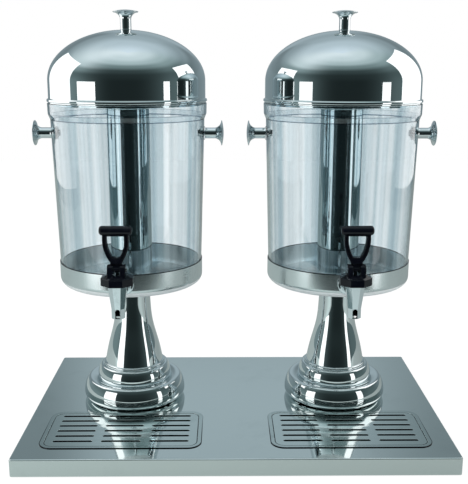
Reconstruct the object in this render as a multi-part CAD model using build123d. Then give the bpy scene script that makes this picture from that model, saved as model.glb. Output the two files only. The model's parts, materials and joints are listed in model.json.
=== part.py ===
from build123d import *
import os
from math import cos, radians, sin

# Twin cold-drink dispenser: two lidded clear jars on pedestals, with a tap each, on one tray.
# Lengths are in millimetres. +Z is up, the front is -Y, and the origin is on the table under
# the centre of the tray. Heights called z are above the table.

# Tray
tray_width = 570.0
tray_depth = 358.0
tray_skirt = 23.0
tray_sheet = 1.0
tray_corner = 3.0
tray_edge = 1.5
tray_return = 26.0

# Feet
foot_stand = 2.0
foot_radius = 6.0
foot_inset = 15.0
foot_neck_radius = 2.9
foot_barb_radius = 3.9
foot_barb_height = 3.0
foot_tip_radius = 2.4
foot_hole_gap = 0.1

# Stations
station_spacing = 298.0
station_y = 29.5

# Pedestal
pedestal_height = 176.0
pedestal_wall = 1.6
pedestal_plate = 3.0
pedestal_lip = 8.0
low_ring_radius = 74.0
low_ring_foot_run = 12.0
low_ring_foot_rise = 8.0
low_ring_height = 32.3
low_ring_round = 10.0
ring_root_radius = 52.4
ring_root_height = 29.2
high_ring_radius = 53.5
high_ring_foot = 3.3
high_ring_height = 51.3
high_ring_round = 7.7
bead_root_radius = 44.3
bead_radius = 44.9
bead_height = 53.2
stem_foot_radius = 42.0
stem_foot_height = 55.2
stem_flare_radius = 37.2
stem_waist_radius = 28.4
stem_neck_radius = 25.4
stem_top_radius = 24.6
stem_flare_share = 0.197
stem_waist_share = 0.487
stem_neck_share = 0.760

# Dish under the jar
dish_radius = 101.5
dish_height = 34.0
dish_sheet = 1.0
dish_corner = 12.0
dish_gasket = 1.5
dish_gasket_radius = 60.0

# Clear jar
jar_foot_radius = 99.6
jar_corner = 8.0
jar_floor = 5.0
jar_wall = 3.0
jar_shoulder_radius = 106.0
jar_shoulder_height = 230.0
jar_collar_radius = 109.0
jar_collar_height = 237.5
jar_rim_radius = 109.4
jar_rim_height = 252.0
jar_rim_round = 1.0

# Lid
lid_radius = 107.6
lid_rise = 67.5
lid_skirt = 30.0
lid_sheet = 1.0
lid_bead_radius = 109.8
lid_bead_height = 6.4
lid_bead_foot_radius = 108.6
lid_lip_radius = 104.9
lid_lip_depth = 3.2
lid_lip_fold = 2.6

# Knobs and their screws
knob_length = 26.3
knob_foot_radius = 9.2
knob_foot_height = 1.4
knob_foot_taper = 1.2
knob_stem_radius = 7.5
knob_flare_start = 14.5
knob_flare_mid_radius = 10.3
knob_flare_mid_height = 20.0
knob_flare_radius = 16.6
knob_flare_height = 22.8
knob_rim_radius = 17.4
knob_rim_low = 23.4
knob_rim_high = 24.0
knob_bore_depth = 13.0
screw_radius = 2.45
screw_gap = 0.1
screw_reach = 10.0
screw_flange_radius = 6.6
screw_flange_height = 1.2
screw_head_radius = 4.4
screw_head_height = 2.6
lid_seat_gap = 0.25
side_knob_height = 210.0
side_washer = 1.2
side_washer_radius = 9.4
inner_washer = 2.0
saddle_gap = 0.2

# Ice tube and the rod that clamps the stack
tube_radius = 29.3
tube_wall = 1.0
tube_length = 239.5
tube_corner = 6.0
tube_bead = 1.2
tube_bead_height = 3.0
tube_gasket = 2.0
tube_gasket_radius = 22.0
boss_radius = 9.0
boss_length = 14.0
boss_gap = 0.3
rod_radius = 3.95
rod_gap = 0.1
rod_blind = 3.0
rod_end_gap = 0.4
rod_tail = 2.8
spreader_radius = 40.0
spreader_thickness = 2.5
rod_nut_width = 13.0
rod_nut_height = 6.5

# Tap body
tap_reach = 158.0
tap_height = 22.0
tap_washer = 2.0
tap_washer_radius = 12.8
tap_inner_washer_radius = 11.4
tap_flange_radius = 14.3
tap_flange_thickness = 4.0
tap_neck_radius = 9.5
tap_shank_radius = 8.0
tap_shank_gap = 0.3
tap_shank_tail = 3.0
tap_nut_width = 21.0
tap_nut_height = 6.5
tap_thread_gap = 0.1
tap_feed_radius = 4.2
spout_tip_drop = 28.8
spout_straight = 12.8
spout_tip_half = 8.15
spout_top_half = 12.2
spout_top_rise = 15.2
spout_bore_radius = 5.2
spout_slot_width = 5.4
spout_slot_length = 12.0
spout_slot_foot = 0.8
seat_drop = 5.0
chamber_radius = 8.2
thread_radius = 13.8
thread_length = 4.8

# Seat cup and stem
plug_radius = 6.6
plug_round = 0.8
bell_radius = 6.0
bell_wall = 1.2
plug_thickness = 7.5
bell_top_drop = 7.0
cup_rim_radius = 13.4
cup_rim_thickness = 2.0
cup_rim_inner_radius = 6.4
cup_shoulder_radius = 7.7
stem_radius = 2.2
stem_barb_radius = 3.4
stem_barb_height = 2.6
stem_barb_lift = 3.2
stem_gap = 0.1
hook_radius = 3.6
hook_face = 1.5
hook_depth = 1.75
hook_half_gap = 1.7
hook_lip = 2.6
hook_top = 2.3

# Bonnet
bonnet_half_width = 20.0
bonnet_skirt = 9.3
bonnet_slope = 3.9
bonnet_top_half = 12.5
bonnet_thread_gap = 0.2
ear_half_width = 11.4
ear_slot_half = 4.5
ear_radius = 6.6
ear_back = 10.0
ear_front = 8.0

# Lever and its pin
pin_forward = 5.0
pin_lift = 7.0
pin_radius = 1.5
pin_gap = 0.05
pin_head_radius = 3.0
pin_head_thickness = 1.1
pin_head_gap = 0.3
lever_hub_radius = 3.25
lever_hub_half = 4.2
lever_neck_depth = 4.4
lever_toe_half = 2.2
lever_toe_round = 1.5
lever_toe_neck = 1.0
lever_half_depth = 4.0
lever_saddle_radius = 7.0
lever_shoulder_half = 7.2
lever_shoulder_rise = 4.0
lever_waist_half = 7.4
lever_waist_rise = 9.5
lever_arm_half = 16.3
lever_arm_rise = 42.0
lever_arm_mid_half = 13.8
lever_arm_mid_rise = 22.0
loop_top_half = 10.9
loop_top_rise = 42.5
loop_mid_half = 9.3
loop_mid_rise = 27.0
loop_foot_half = 4.6
loop_foot_rise = 16.4
loop_foot_sag = 0.7
loop_corner = 2.5
grip_half_length = 20.4
grip_radius = 5.9
grip_rise = 49.2
grip_end_round = 3.8

# Drip pan and grid
drip_x = 151.0
drip_y = -94.75
grid_width = 199.5
grid_depth = 98.5
grid_thickness = 1.2
grid_corner = 12.0
grid_gap = 0.4
slot_length = 50.5
slot_width = 3.5
slot_columns = 3
slot_column_pitch = 63.0
slot_rows = 6
slot_row_pitch = 15.2
slot_back_shift = 3.0
pan_border = 6.3
pan_sheet = 1.0
pan_depth = 18.0
pan_ledge = 4.0
pan_recess = 1.5
pan_corner = 9.0
pan_draft = 3.0
opening_gap = 0.6

# One overrun serves every cut
overrun = 1.0

# Heights that follow
tray_top = foot_stand + tray_skirt
dish_z = tray_top + pedestal_height
jar_z = dish_z + dish_sheet + dish_gasket
jar_floor_z = jar_z + jar_floor
shoulder_z = jar_z + jar_shoulder_height
collar_z = jar_z + jar_collar_height
rim_z = jar_z + jar_rim_height
lid_spring_z = rim_z + lid_skirt
lid_top_z = lid_spring_z + lid_rise
side_knob_z = jar_z + side_knob_height
tube_z = jar_floor_z + tube_gasket
tap_z = dish_z + tap_height
seat_z = tap_z - seat_drop
spout_tip_z = tap_z - spout_tip_drop
spout_top_z = tap_z + spout_top_rise
cup_rim_z = spout_top_z + thread_length
bonnet_bridge_z = cup_rim_z + cup_rim_thickness
bonnet_top_z = spout_top_z + bonnet_skirt + bonnet_slope
pin_z = bonnet_top_z + pin_lift
boss_hole_radius = boss_radius + boss_gap
knob_hole_radius = screw_radius + screw_gap


def turned(*curves):
    return revolve(Plane.XZ * make_face(Curve() + list(curves)), Axis.Z)


def rod(radius, low, high):
    return Pos(0, 0, low) * Cylinder(radius, high - low, align=(Align.CENTER, Align.CENTER, Align.MIN))


def collar(inner, outer, low, high):
    return rod(outer, low, high) - rod(inner, low - overrun, high + overrun)


def hexagon_nut(width, bore, low, high):
    blank = extrude(Pos(0, 0, low) * RegularPolygon(width / 2, 6, major_radius=False), high - low)
    return blank - rod(bore, low - overrun, high + overrun)


def rounded_block(width, depth, corner, low, high):
    return extrude(Pos(0, 0, low) * RectangleRounded(width, depth, corner), high - low)


def toward_x(solid):
    return Rot(0, 90, 0) * solid


def toward_minus_x(solid):
    return Rot(0, -90, 0) * solid


# A piece turned about Z is laid along -Y at the height of the tap's shank.
def toward_front(solid):
    return Pos(0, 0, tap_z) * Rot(90, 0, 0) * solid


def drip_centres():
    return [(-drip_x, drip_y), (drip_x, drip_y)]


def station_centres():
    return [(-station_spacing / 2, station_y), (station_spacing / 2, station_y)]


def foot_centres():
    x = tray_width / 2 - foot_inset
    y = tray_depth / 2 - foot_inset
    return [(-x, -y), (x, -y), (-x, y), (x, y)]


# The recess that holds the grid, and the wall round it
recess_width = grid_width + 2 * grid_gap
recess_depth = grid_depth + 2 * grid_gap
recess_corner = grid_corner + grid_gap
step_width = recess_width + 2 * pan_sheet
step_depth = recess_depth + 2 * pan_sheet
step_corner = recess_corner + pan_sheet


def base_tray():
    middle = foot_stand + tray_skirt / 2
    body = Pos(0, 0, middle) * Box(tray_width, tray_depth, tray_skirt)
    body = fillet(body.edges().filter_by(Axis.Z), tray_corner)
    body = fillet(body.faces().sort_by(Axis.Z)[-1].edges(), tray_edge)
    hollow_width = tray_width - 2 * tray_sheet
    hollow_depth = tray_depth - 2 * tray_sheet
    body -= Pos(0, 0, middle) * Box(hollow_width, hollow_depth, tray_skirt - 2 * tray_sheet)
    inside = Box(tray_width - 2 * tray_return, tray_depth - 2 * tray_return, 2 * tray_sheet)
    body -= Pos(0, 0, foot_stand) * inside
    for x, y in drip_centres():
        width = step_width + 2 * opening_gap
        depth = step_depth + 2 * opening_gap
        corner = step_corner + opening_gap
        opening = rounded_block(width, depth, corner, tray_top - 2 * tray_sheet, tray_top + overrun)
        body -= Pos(x, y, 0) * opening
    for x, y in station_centres():
        body -= Pos(x, y, 0) * rod(rod_radius + rod_gap, tray_top - 2 * tray_sheet, tray_top + overrun)
    for x, y in foot_centres():
        body -= Pos(x, y, 0) * rod(foot_neck_radius + foot_hole_gap, 0, foot_stand + 2 * tray_sheet)
    return body


# Push-in rubber foot: pad, neck through the return flange, and a barb above it.
def feet():
    barb_z = foot_stand + tray_sheet
    tip_z = barb_z + foot_barb_height
    outline = Polyline(
        (0, 0), (foot_radius, 0), (foot_radius, foot_stand), (foot_neck_radius, foot_stand),
        (foot_neck_radius, barb_z), (foot_barb_radius, barb_z), (foot_tip_radius, tip_z), (0, tip_z), (0, 0))
    return Compound([Pos(x, y, 0) * turned(outline) for x, y in foot_centres()])


# The stem's curve passes its flare, waist and neck at shares of the stem's own height.
def stem_line(inset):
    length = pedestal_height - stem_foot_height
    return Spline(
        (stem_foot_radius - inset, stem_foot_height),
        (stem_flare_radius - inset, stem_foot_height + stem_flare_share * length),
        (stem_waist_radius - inset, stem_foot_height + stem_waist_share * length),
        (stem_neck_radius - inset, stem_foot_height + stem_neck_share * length),
        (stem_top_radius - inset, pedestal_height - inset))


# Hollow stem on two rings. Each ring has an upright face between rounds, and the lower
# one slopes in to a root where the upper one stands. The inner line keeps a wall inside.
def pedestal():
    foot_r = low_ring_radius - low_ring_foot_run
    low_r = low_ring_radius - low_ring_round
    low_z = low_ring_height - low_ring_round
    high_r = high_ring_radius - high_ring_round
    high_z = high_ring_height - high_ring_round
    root = (ring_root_radius, ring_root_height)
    high_foot = ring_root_height + high_ring_foot
    plate_z = pedestal_height - pedestal_plate
    outer = [
        Line((foot_r - pedestal_lip, 0), (foot_r, 0)),
        EllipticalCenterArc((foot_r, low_ring_foot_rise), low_ring_foot_run, low_ring_foot_rise,
                            start_angle=270, arc_size=90),
        Line((low_ring_radius, low_ring_foot_rise), (low_ring_radius, low_z)),
        CenterArc((low_r, low_z), low_ring_round, 0, 90),
        TangentArc((low_r, low_ring_height), root, tangent=(-1, 0)),
        TangentArc((high_ring_radius, high_foot), root, tangent=(0, -1)),
        Line((high_ring_radius, high_foot), (high_ring_radius, high_z)),
        CenterArc((high_r, high_z), high_ring_round, 0, 90),
        Line((high_r, high_ring_height), (bead_root_radius, high_ring_height)),
        ThreePointArc((bead_root_radius, high_ring_height), (bead_radius, bead_height),
                      (stem_foot_radius, stem_foot_height)),
        stem_line(0),
        Line((stem_top_radius, pedestal_height), (0, pedestal_height)),
        Line((0, pedestal_height), (0, 0)),
        Line((0, 0), (foot_r - pedestal_lip, 0))]
    neck = stem_foot_radius - pedestal_wall
    inner_top = high_ring_height - pedestal_wall
    inner = [
        Line((0, pedestal_wall), (foot_r, pedestal_wall)),
        EllipticalCenterArc((foot_r, low_ring_foot_rise), low_ring_foot_run - pedestal_wall,
                            low_ring_foot_rise - pedestal_wall, start_angle=270, arc_size=90),
        Line((low_ring_radius - pedestal_wall, low_ring_foot_rise), (low_ring_radius - pedestal_wall, low_z)),
        CenterArc((low_r, low_z), low_ring_round - pedestal_wall, 0, 90),
        Polyline((low_r, low_ring_height - pedestal_wall),
                 (ring_root_radius - pedestal_wall / 2, ring_root_height - 3 * pedestal_wall / 2),
                 (ring_root_radius - pedestal_wall, ring_root_height),
                 (high_ring_radius - pedestal_wall, high_foot), (high_ring_radius - pedestal_wall, high_z)),
        CenterArc((high_r, high_z), high_ring_round - pedestal_wall, 0, 90),
        Polyline((high_r, inner_top), (neck, inner_top), (neck, stem_foot_height)),
        stem_line(pedestal_wall),
        Polyline((stem_top_radius - pedestal_wall, pedestal_height - pedestal_wall),
                 (0, pedestal_height - pedestal_wall), (0, pedestal_wall))]
    shell = turned(*outer) - turned(*inner)
    shell -= rod(foot_r - pedestal_lip, -overrun, low_ring_foot_rise)
    plate = rod(stem_top_radius - pedestal_wall, plate_z, pedestal_height)
    shell += plate
    shell -= rod(boss_hole_radius, plate_z - overrun, pedestal_height + overrun)
    return Pos(0, 0, tray_top) * shell


def base_dish():
    inner = dish_corner - dish_sheet
    top = dish_z + dish_height
    floor = dish_z + dish_sheet
    flat = dish_radius - dish_corner
    bend = dish_z + dish_corner
    dish = turned(
        Line((boss_hole_radius, dish_z), (flat, dish_z)),
        TangentArc((flat, dish_z), (dish_radius, bend), tangent=(1, 0)),
        Polyline((dish_radius, bend), (dish_radius, top), (dish_radius - dish_sheet, top),
                 (dish_radius - dish_sheet, bend)),
        TangentArc((flat + inner, bend), (flat, floor), tangent=(0, -1)),
        Polyline((flat, floor), (boss_hole_radius, floor), (boss_hole_radius, dish_z)))
    hole = rod(tap_shank_radius + tap_shank_gap, dish_radius / 2, dish_radius + overrun)
    return dish - toward_front(hole)


def jar_outline(inset, foot_z, top_z):
    flat = jar_foot_radius - jar_corner
    bend = jar_z + jar_corner
    foot = jar_foot_radius - inset
    return [
        Line((0, foot_z), (flat, foot_z)),
        TangentArc((flat, foot_z), (foot, bend), tangent=(1, 0)),
        Polyline((foot, bend), (jar_shoulder_radius - inset, shoulder_z),
                 (jar_collar_radius - inset, collar_z), (jar_rim_radius - inset, top_z),
                 (0, top_z), (0, foot_z))]


# The jar's inside, as far as its rim, grown inwards by a gap
def jar_inside(gap):
    inset = jar_wall + gap
    flat = jar_foot_radius - jar_corner
    bend = jar_z + jar_corner
    foot = jar_foot_radius - inset
    foot_z = bend - (jar_corner - jar_wall) + gap
    halfway = (flat + (foot - flat) * cos(radians(45)), bend - (bend - foot_z) * sin(radians(45)))
    return turned(
        Line((0, foot_z), (flat, foot_z)),
        ThreePointArc((flat, foot_z), halfway, (foot, bend)),
        Polyline((foot, bend), (jar_shoulder_radius - inset, shoulder_z),
                 (jar_collar_radius - inset, collar_z), (jar_rim_radius - inset, rim_z + overrun),
                 (0, rim_z + overrun), (0, foot_z)))


def jar():
    shell = turned(*jar_outline(0, jar_z, rim_z)) - jar_inside(0)
    shell = fillet(shell.faces().sort_by(Axis.Z)[-1].edges(), jar_rim_round)
    shell -= rod(boss_hole_radius, jar_z - overrun, jar_floor_z + overrun)
    shell -= toward_front(rod(tap_shank_radius + tap_shank_gap, jar_foot_radius / 2, jar_rim_radius))
    hole = rod(screw_radius + screw_gap, -jar_rim_radius, jar_rim_radius)
    return shell - Pos(0, 0, side_knob_z) * toward_x(hole)


def jar_radius_at(z):
    foot_z = jar_z + jar_corner
    slope = (jar_shoulder_radius - jar_foot_radius) / (shoulder_z - foot_z)
    return jar_foot_radius + slope * (z - foot_z)


def lid():
    inner = lid_radius - lid_sheet
    lip_inner = lid_lip_radius - lid_sheet
    lip_low = rim_z - lid_lip_depth
    fold_z = rim_z + lid_lip_fold
    bead_mid = rim_z + lid_bead_height / 2
    shell = turned(
        EllipticalCenterArc((0, lid_spring_z), lid_radius, lid_rise, arc_size=90),
        Polyline((lid_radius, lid_spring_z), (lid_radius, rim_z + lid_bead_height)),
        ThreePointArc((lid_radius, rim_z + lid_bead_height), (lid_bead_radius, bead_mid),
                      (lid_bead_foot_radius, rim_z)),
        Polyline((lid_bead_foot_radius, rim_z), (lid_lip_radius, rim_z), (lid_lip_radius, lip_low),
                 (lip_inner, lip_low), (lip_inner, fold_z), (inner, fold_z + lid_lip_fold),
                 (inner, lid_spring_z)),
        EllipticalCenterArc((0, lid_spring_z), inner, lid_rise - lid_sheet, arc_size=90),
        Line((0, lid_top_z - lid_sheet), (0, lid_top_z)))
    return shell - rod(knob_hole_radius, lid_spring_z, lid_top_z + overrun)


# Trumpet knob along +Z from its foot, with a blind bore for its screw.
def knob():
    blank = turned(
        Polyline((0, 0), (knob_foot_radius, 0), (knob_foot_radius, knob_foot_height),
                 (knob_stem_radius, knob_foot_height + knob_foot_taper),
                 (knob_stem_radius, knob_flare_start)),
        ThreePointArc((knob_stem_radius, knob_flare_start), (knob_flare_mid_radius, knob_flare_mid_height),
                      (knob_flare_radius, knob_flare_height)),
        Polyline((knob_flare_radius, knob_flare_height), (knob_rim_radius, knob_rim_low),
                 (knob_rim_radius, knob_rim_high)),
        TangentArc((0, knob_length), (knob_rim_radius, knob_rim_high), tangent=(1, 0)),
        Line((0, knob_length), (0, 0)))
    return blank - rod(knob_hole_radius, -overrun, knob_bore_depth)


# Flanged screw along +Z, seated at zero, with its grip and its reach into the knob above.
def knob_screw(grip):
    screw = rod(screw_radius, 0, grip + screw_reach)
    screw += rod(screw_flange_radius, -screw_flange_height, 0)
    screw += rod(screw_head_radius, -screw_flange_height - screw_head_height, 0)
    return screw


def lid_knob():
    return Pos(0, 0, lid_top_z) * knob()


def lid_knob_screw():
    return Pos(0, 0, lid_top_z - lid_sheet - lid_seat_gap) * knob_screw(lid_sheet + lid_seat_gap)


side_seat = jar_radius_at(side_knob_z) + side_washer
side_head_seat = jar_radius_at(side_knob_z) - jar_wall - inner_washer


def side_knob(turn):
    return Pos(0, 0, side_knob_z) * turn(Pos(0, 0, side_seat) * knob())


def side_knob_screws():
    grip = side_seat - side_head_seat
    screw = Pos(0, 0, side_head_seat) * knob_screw(grip)
    place = Pos(0, 0, side_knob_z)
    return Compound([place * toward_minus_x(screw), place * toward_x(screw)])


# Washers with one flat face, the other cut to the jar's tapered wall.
def side_knob_washers():
    wall = turned(*jar_outline(-saddle_gap, jar_z, rim_z))
    inside = jar_inside(saddle_gap)
    middle = jar_radius_at(side_knob_z) - jar_wall / 2
    outer = collar(knob_hole_radius, side_washer_radius, middle, side_seat)
    inner = collar(knob_hole_radius, side_washer_radius, side_head_seat, middle)
    place = Pos(0, 0, side_knob_z)
    solids = []
    for turn in (toward_minus_x, toward_x):
        solids.append(place * turn(outer) - wall)
        solids.append((place * turn(inner)) & inside)
    return Compound([solid.solids()[0] for solid in solids])


def dish_gasket_ring():
    return collar(boss_hole_radius, dish_gasket_radius, dish_z + dish_sheet, jar_z)


def ice_tube():
    inner = tube_radius - tube_wall
    top = tube_z + tube_length
    bead_low = top - tube_bead_height
    bend = tube_z + tube_corner
    flat = tube_radius - tube_corner
    inner_bend = tube_corner - tube_wall
    shell = turned(
        Line((0, tube_z), (flat, tube_z)),
        TangentArc((flat, tube_z), (tube_radius, bend), tangent=(1, 0)),
        Line((tube_radius, bend), (tube_radius, bead_low)),
        ThreePointArc((tube_radius, bead_low), (tube_radius + tube_bead, (bead_low + top) / 2),
                      (tube_radius, top)),
        Polyline((tube_radius, top), (inner, top), (inner, bend)),
        TangentArc((flat + inner_bend, bend), (flat, tube_z + tube_wall), tangent=(0, -1)),
        Polyline((flat, tube_z + tube_wall), (0, tube_z + tube_wall), (0, tube_z)))
    shell += rod(boss_radius, tube_z - boss_length, tube_z)
    return shell - rod(rod_radius + rod_gap, tube_z - boss_length - overrun, tube_z - rod_blind)


def ice_tube_gasket():
    return collar(boss_hole_radius, tube_gasket_radius, jar_floor_z, tube_z)


spreader_z = tray_top - tray_sheet - spreader_thickness


def tie_rod():
    return rod(rod_radius, spreader_z - rod_nut_height - rod_tail, tube_z - rod_blind - rod_end_gap)


def spreader_washer():
    return collar(rod_radius + rod_gap, spreader_radius, spreader_z, tray_top - tray_sheet)


def tie_nut():
    return hexagon_nut(rod_nut_width, rod_radius + rod_gap, spreader_z - rod_nut_height, spreader_z)


# Distances out from the jar's axis along the tap's shank
flange_out = dish_radius + tap_washer
wall_in = jar_radius_at(tap_z) - jar_wall
washer_in = wall_in - tap_washer
nut_in = washer_in - tap_nut_height


def octagon(half_width, z):
    return Pos(0, 0, z) * RegularPolygon(half_width, 8, major_radius=False, rotation=22.5)


# Flanged shank into a vertical valve chamber, over a spout of eight faces that tapers
# and then runs straight to the tip, where a slot opens its front.
def tap_body():
    knee_z = spout_tip_z + spout_straight
    spout = loft([octagon(spout_tip_half, knee_z), octagon(spout_top_half, spout_top_z)])
    spout += extrude(octagon(spout_tip_half, spout_tip_z), spout_straight)
    spout += rod(thread_radius, spout_top_z, cup_rim_z)
    body = Pos(0, -tap_reach, 0) * spout
    body += toward_front(rod(tap_neck_radius, flange_out, tap_reach))
    body += toward_front(rod(tap_flange_radius, flange_out, flange_out + tap_flange_thickness))
    body += toward_front(rod(tap_shank_radius, nut_in - tap_shank_tail, flange_out))
    valve = rod(spout_bore_radius, spout_tip_z - overrun, seat_z + overrun)
    valve += rod(chamber_radius, seat_z, cup_rim_z + overrun)
    slot_z = spout_tip_z + spout_slot_foot + spout_slot_length / 2
    slot = SlotOverall(spout_slot_length, spout_slot_width, rotation=90)
    valve += Pos(0, 0, slot_z) * extrude(Plane.XZ * slot, spout_top_half)
    body -= Pos(0, -tap_reach, 0) * valve
    return body - toward_front(rod(tap_feed_radius, nut_in - tap_shank_tail - overrun, tap_reach))


def tap_outer_washer():
    bore = tap_shank_radius + tap_thread_gap
    ring = toward_front(collar(bore, tap_washer_radius, dish_radius / 2, flange_out))
    return (ring - rod(dish_radius + saddle_gap, dish_z, rim_z)).solids()[0]


def tap_inner_washer():
    bore = tap_shank_radius + tap_thread_gap
    ring = toward_front(collar(bore, tap_inner_washer_radius, washer_in, jar_foot_radius))
    return (ring & jar_inside(saddle_gap)).solids()[0]


def tap_nut():
    bore = tap_shank_radius + tap_thread_gap
    return toward_front(hexagon_nut(tap_nut_width, bore, nut_in, washer_in))


# Silicone bell: a plug on the valve seat, a thin wall, and a rim clamped by the bonnet.
def seat_cup():
    plug_top = seat_z + plug_thickness
    bell_top = cup_rim_z - bell_top_drop
    inner = bell_radius - bell_wall
    rim_top = cup_rim_z + cup_rim_thickness
    cup = turned(Polyline(
        (0, seat_z), (plug_radius - plug_round, seat_z), (plug_radius, seat_z + plug_round),
        (bell_radius, plug_top), (bell_radius, bell_top), (cup_shoulder_radius, cup_rim_z),
        (cup_rim_radius, cup_rim_z), (cup_rim_radius, rim_top), (cup_rim_inner_radius, rim_top),
        (inner, bell_top), (inner, plug_top), (0, plug_top), (0, seat_z)))
    low = seat_z + stem_barb_lift
    cup -= rod(stem_barb_radius + stem_gap, low - stem_gap, low + stem_barb_height + stem_gap)
    cup -= rod(stem_radius + stem_gap, low, plug_top + overrun)
    return Pos(0, -tap_reach, 0) * cup


# Valve stem: a barb in the seat cup's plug, and a hook that the lever's toe lifts.
def tap_stem():
    low = seat_z + stem_barb_lift
    hook_low = pin_z - hook_half_gap - hook_lip
    hook_high = pin_z + hook_half_gap + hook_top
    hook = rod(hook_radius, hook_low, hook_high)
    front = Box(4 * hook_radius, 2 * hook_radius, 2 * (hook_high - hook_low))
    hook -= Pos(0, -hook_face - hook_radius, pin_z) * front
    reach = hook_face + hook_depth
    notch = Box(4 * hook_radius, 2 * reach, 2 * hook_half_gap)
    hook -= Pos(0, hook_depth - reach, pin_z) * notch
    stem = rod(stem_radius, low, hook_low) + hook
    stem += rod(stem_barb_radius, low, low + stem_barb_height)
    return Pos(0, -tap_reach, 0) * stem


# Eight-sided cap with a sloped top, and two ears whose round tops centre on the pin.
def tap_bonnet():
    slope_z = spout_top_z + bonnet_skirt
    cap = extrude(octagon(bonnet_half_width, spout_top_z), bonnet_skirt)
    cap += loft([octagon(bonnet_half_width, slope_z), octagon(bonnet_top_half, bonnet_top_z)])
    bore = rod(thread_radius + bonnet_thread_gap, spout_top_z - overrun, bonnet_bridge_z)
    top = Pos(-pin_forward, pin_z) * Circle(ear_radius)
    side = make_hull(top.edges() + Line((-pin_forward - ear_front, slope_z), (ear_back, slope_z)).edges())
    ears = extrude(Plane.YZ * side, ear_half_width, both=True)
    slot_height = ear_radius + pin_lift + overrun
    slot = Box(2 * ear_slot_half, 4 * bonnet_top_half, slot_height,
               align=(Align.CENTER, Align.CENTER, Align.MIN))
    cap += ears - Pos(0, 0, bonnet_top_z) * slot
    cap -= bore
    cap -= rod(stem_radius + stem_gap, spout_top_z, bonnet_top_z + overrun)
    pin_hole = rod(pin_radius + pin_gap, -bonnet_half_width, bonnet_half_width)
    cap -= Pos(0, -pin_forward, pin_z) * toward_x(pin_hole)
    return Pos(0, -tap_reach, 0) * cap


# Finger loop: two arms curve out from the waist to the grip bar, round a D-shaped hole.
def lever_plate():
    outer = [
        Line((-lever_shoulder_half, lever_shoulder_rise), (lever_shoulder_half, lever_shoulder_rise)),
        Line((lever_shoulder_half, lever_shoulder_rise), (lever_waist_half, lever_waist_rise)),
        ThreePointArc((lever_waist_half, lever_waist_rise), (lever_arm_mid_half, lever_arm_mid_rise),
                      (lever_arm_half, lever_arm_rise)),
        Polyline((lever_arm_half, lever_arm_rise), (lever_arm_half, grip_rise),
                 (-lever_arm_half, grip_rise), (-lever_arm_half, lever_arm_rise)),
        ThreePointArc((-lever_arm_half, lever_arm_rise), (-lever_arm_mid_half, lever_arm_mid_rise),
                      (-lever_waist_half, lever_waist_rise)),
        Line((-lever_waist_half, lever_waist_rise), (-lever_shoulder_half, lever_shoulder_rise))]
    loop = make_face(Curve() + [
        ThreePointArc((-loop_foot_half, loop_foot_rise), (0, loop_foot_rise - loop_foot_sag),
                      (loop_foot_half, loop_foot_rise)),
        ThreePointArc((loop_foot_half, loop_foot_rise), (loop_mid_half, loop_mid_rise),
                      (loop_top_half, loop_top_rise)),
        Line((loop_top_half, loop_top_rise), (-loop_top_half, loop_top_rise)),
        ThreePointArc((-loop_top_half, loop_top_rise), (-loop_mid_half, loop_mid_rise),
                      (-loop_foot_half, loop_foot_rise))])
    loop = fillet(loop.vertices().group_by(Axis.Y)[-1], loop_corner)
    face = make_face(Curve() + outer) - loop
    return extrude(Plane.XZ * face, lever_half_depth, both=True)


def tap_lever():
    saddle = rod(lever_saddle_radius, -bonnet_half_width, bonnet_half_width)
    plate = lever_plate() - toward_x(saddle)
    grip = rod(grip_radius, -grip_half_length, grip_half_length)
    grip = fillet(grip.edges().filter_by(GeomType.CIRCLE), grip_end_round)
    lever = plate + Pos(0, 0, grip_rise) * toward_x(grip)
    neck_low = Box(2 * lever_hub_half, lever_neck_depth, lever_waist_rise,
                   align=(Align.CENTER, Align.CENTER, Align.MIN))
    lever += neck_low
    lever += toward_x(rod(lever_hub_radius, -lever_hub_half, lever_hub_half))
    toe = Box(2 * lever_toe_half, pin_forward, 2 * lever_toe_neck,
              align=(Align.CENTER, Align.MIN, Align.CENTER))
    toe += Pos(0, pin_forward, 0) * toward_x(rod(lever_toe_round, -lever_toe_half, lever_toe_half))
    lever += toe
    lever -= toward_x(rod(pin_radius, -bonnet_half_width, bonnet_half_width))
    return Pos(0, -tap_reach - pin_forward, pin_z) * lever


def tap_lever_pin():
    head = ear_half_width + pin_head_gap
    pin = rod(pin_radius, -ear_half_width, head + pin_head_thickness)
    pin += rod(pin_head_radius, head, head + pin_head_thickness)
    return Pos(0, -tap_reach - pin_forward, pin_z) * toward_x(pin)


def drip_pan():
    lip = tray_top + pan_sheet
    ledge = lip - pan_recess
    well_width = recess_width - 2 * pan_ledge
    well_depth = recess_depth - 2 * pan_ledge
    outer_corner = pan_corner + pan_sheet
    lip_corner = step_corner + pan_border - pan_sheet - grid_gap
    pan = rounded_block(grid_width + 2 * pan_border, grid_depth + 2 * pan_border, lip_corner, tray_top, lip)
    pan += rounded_block(step_width, step_depth, step_corner, ledge - pan_sheet, lip)
    foot = lip - pan_depth
    pan += loft([
        Pos(0, 0, foot) * RectangleRounded(
            well_width + 2 * pan_sheet - 2 * pan_draft, well_depth + 2 * pan_sheet - 2 * pan_draft, outer_corner),
        Pos(0, 0, ledge) * RectangleRounded(
            well_width + 2 * pan_sheet, well_depth + 2 * pan_sheet, outer_corner)])
    pan -= rounded_block(recess_width, recess_depth, recess_corner, ledge, lip + overrun)
    pan -= loft([
        Pos(0, 0, foot + pan_sheet) * RectangleRounded(
            well_width - 2 * pan_draft, well_depth - 2 * pan_draft, pan_corner),
        Pos(0, 0, ledge) * RectangleRounded(well_width, well_depth, pan_corner)])
    return pan


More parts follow.
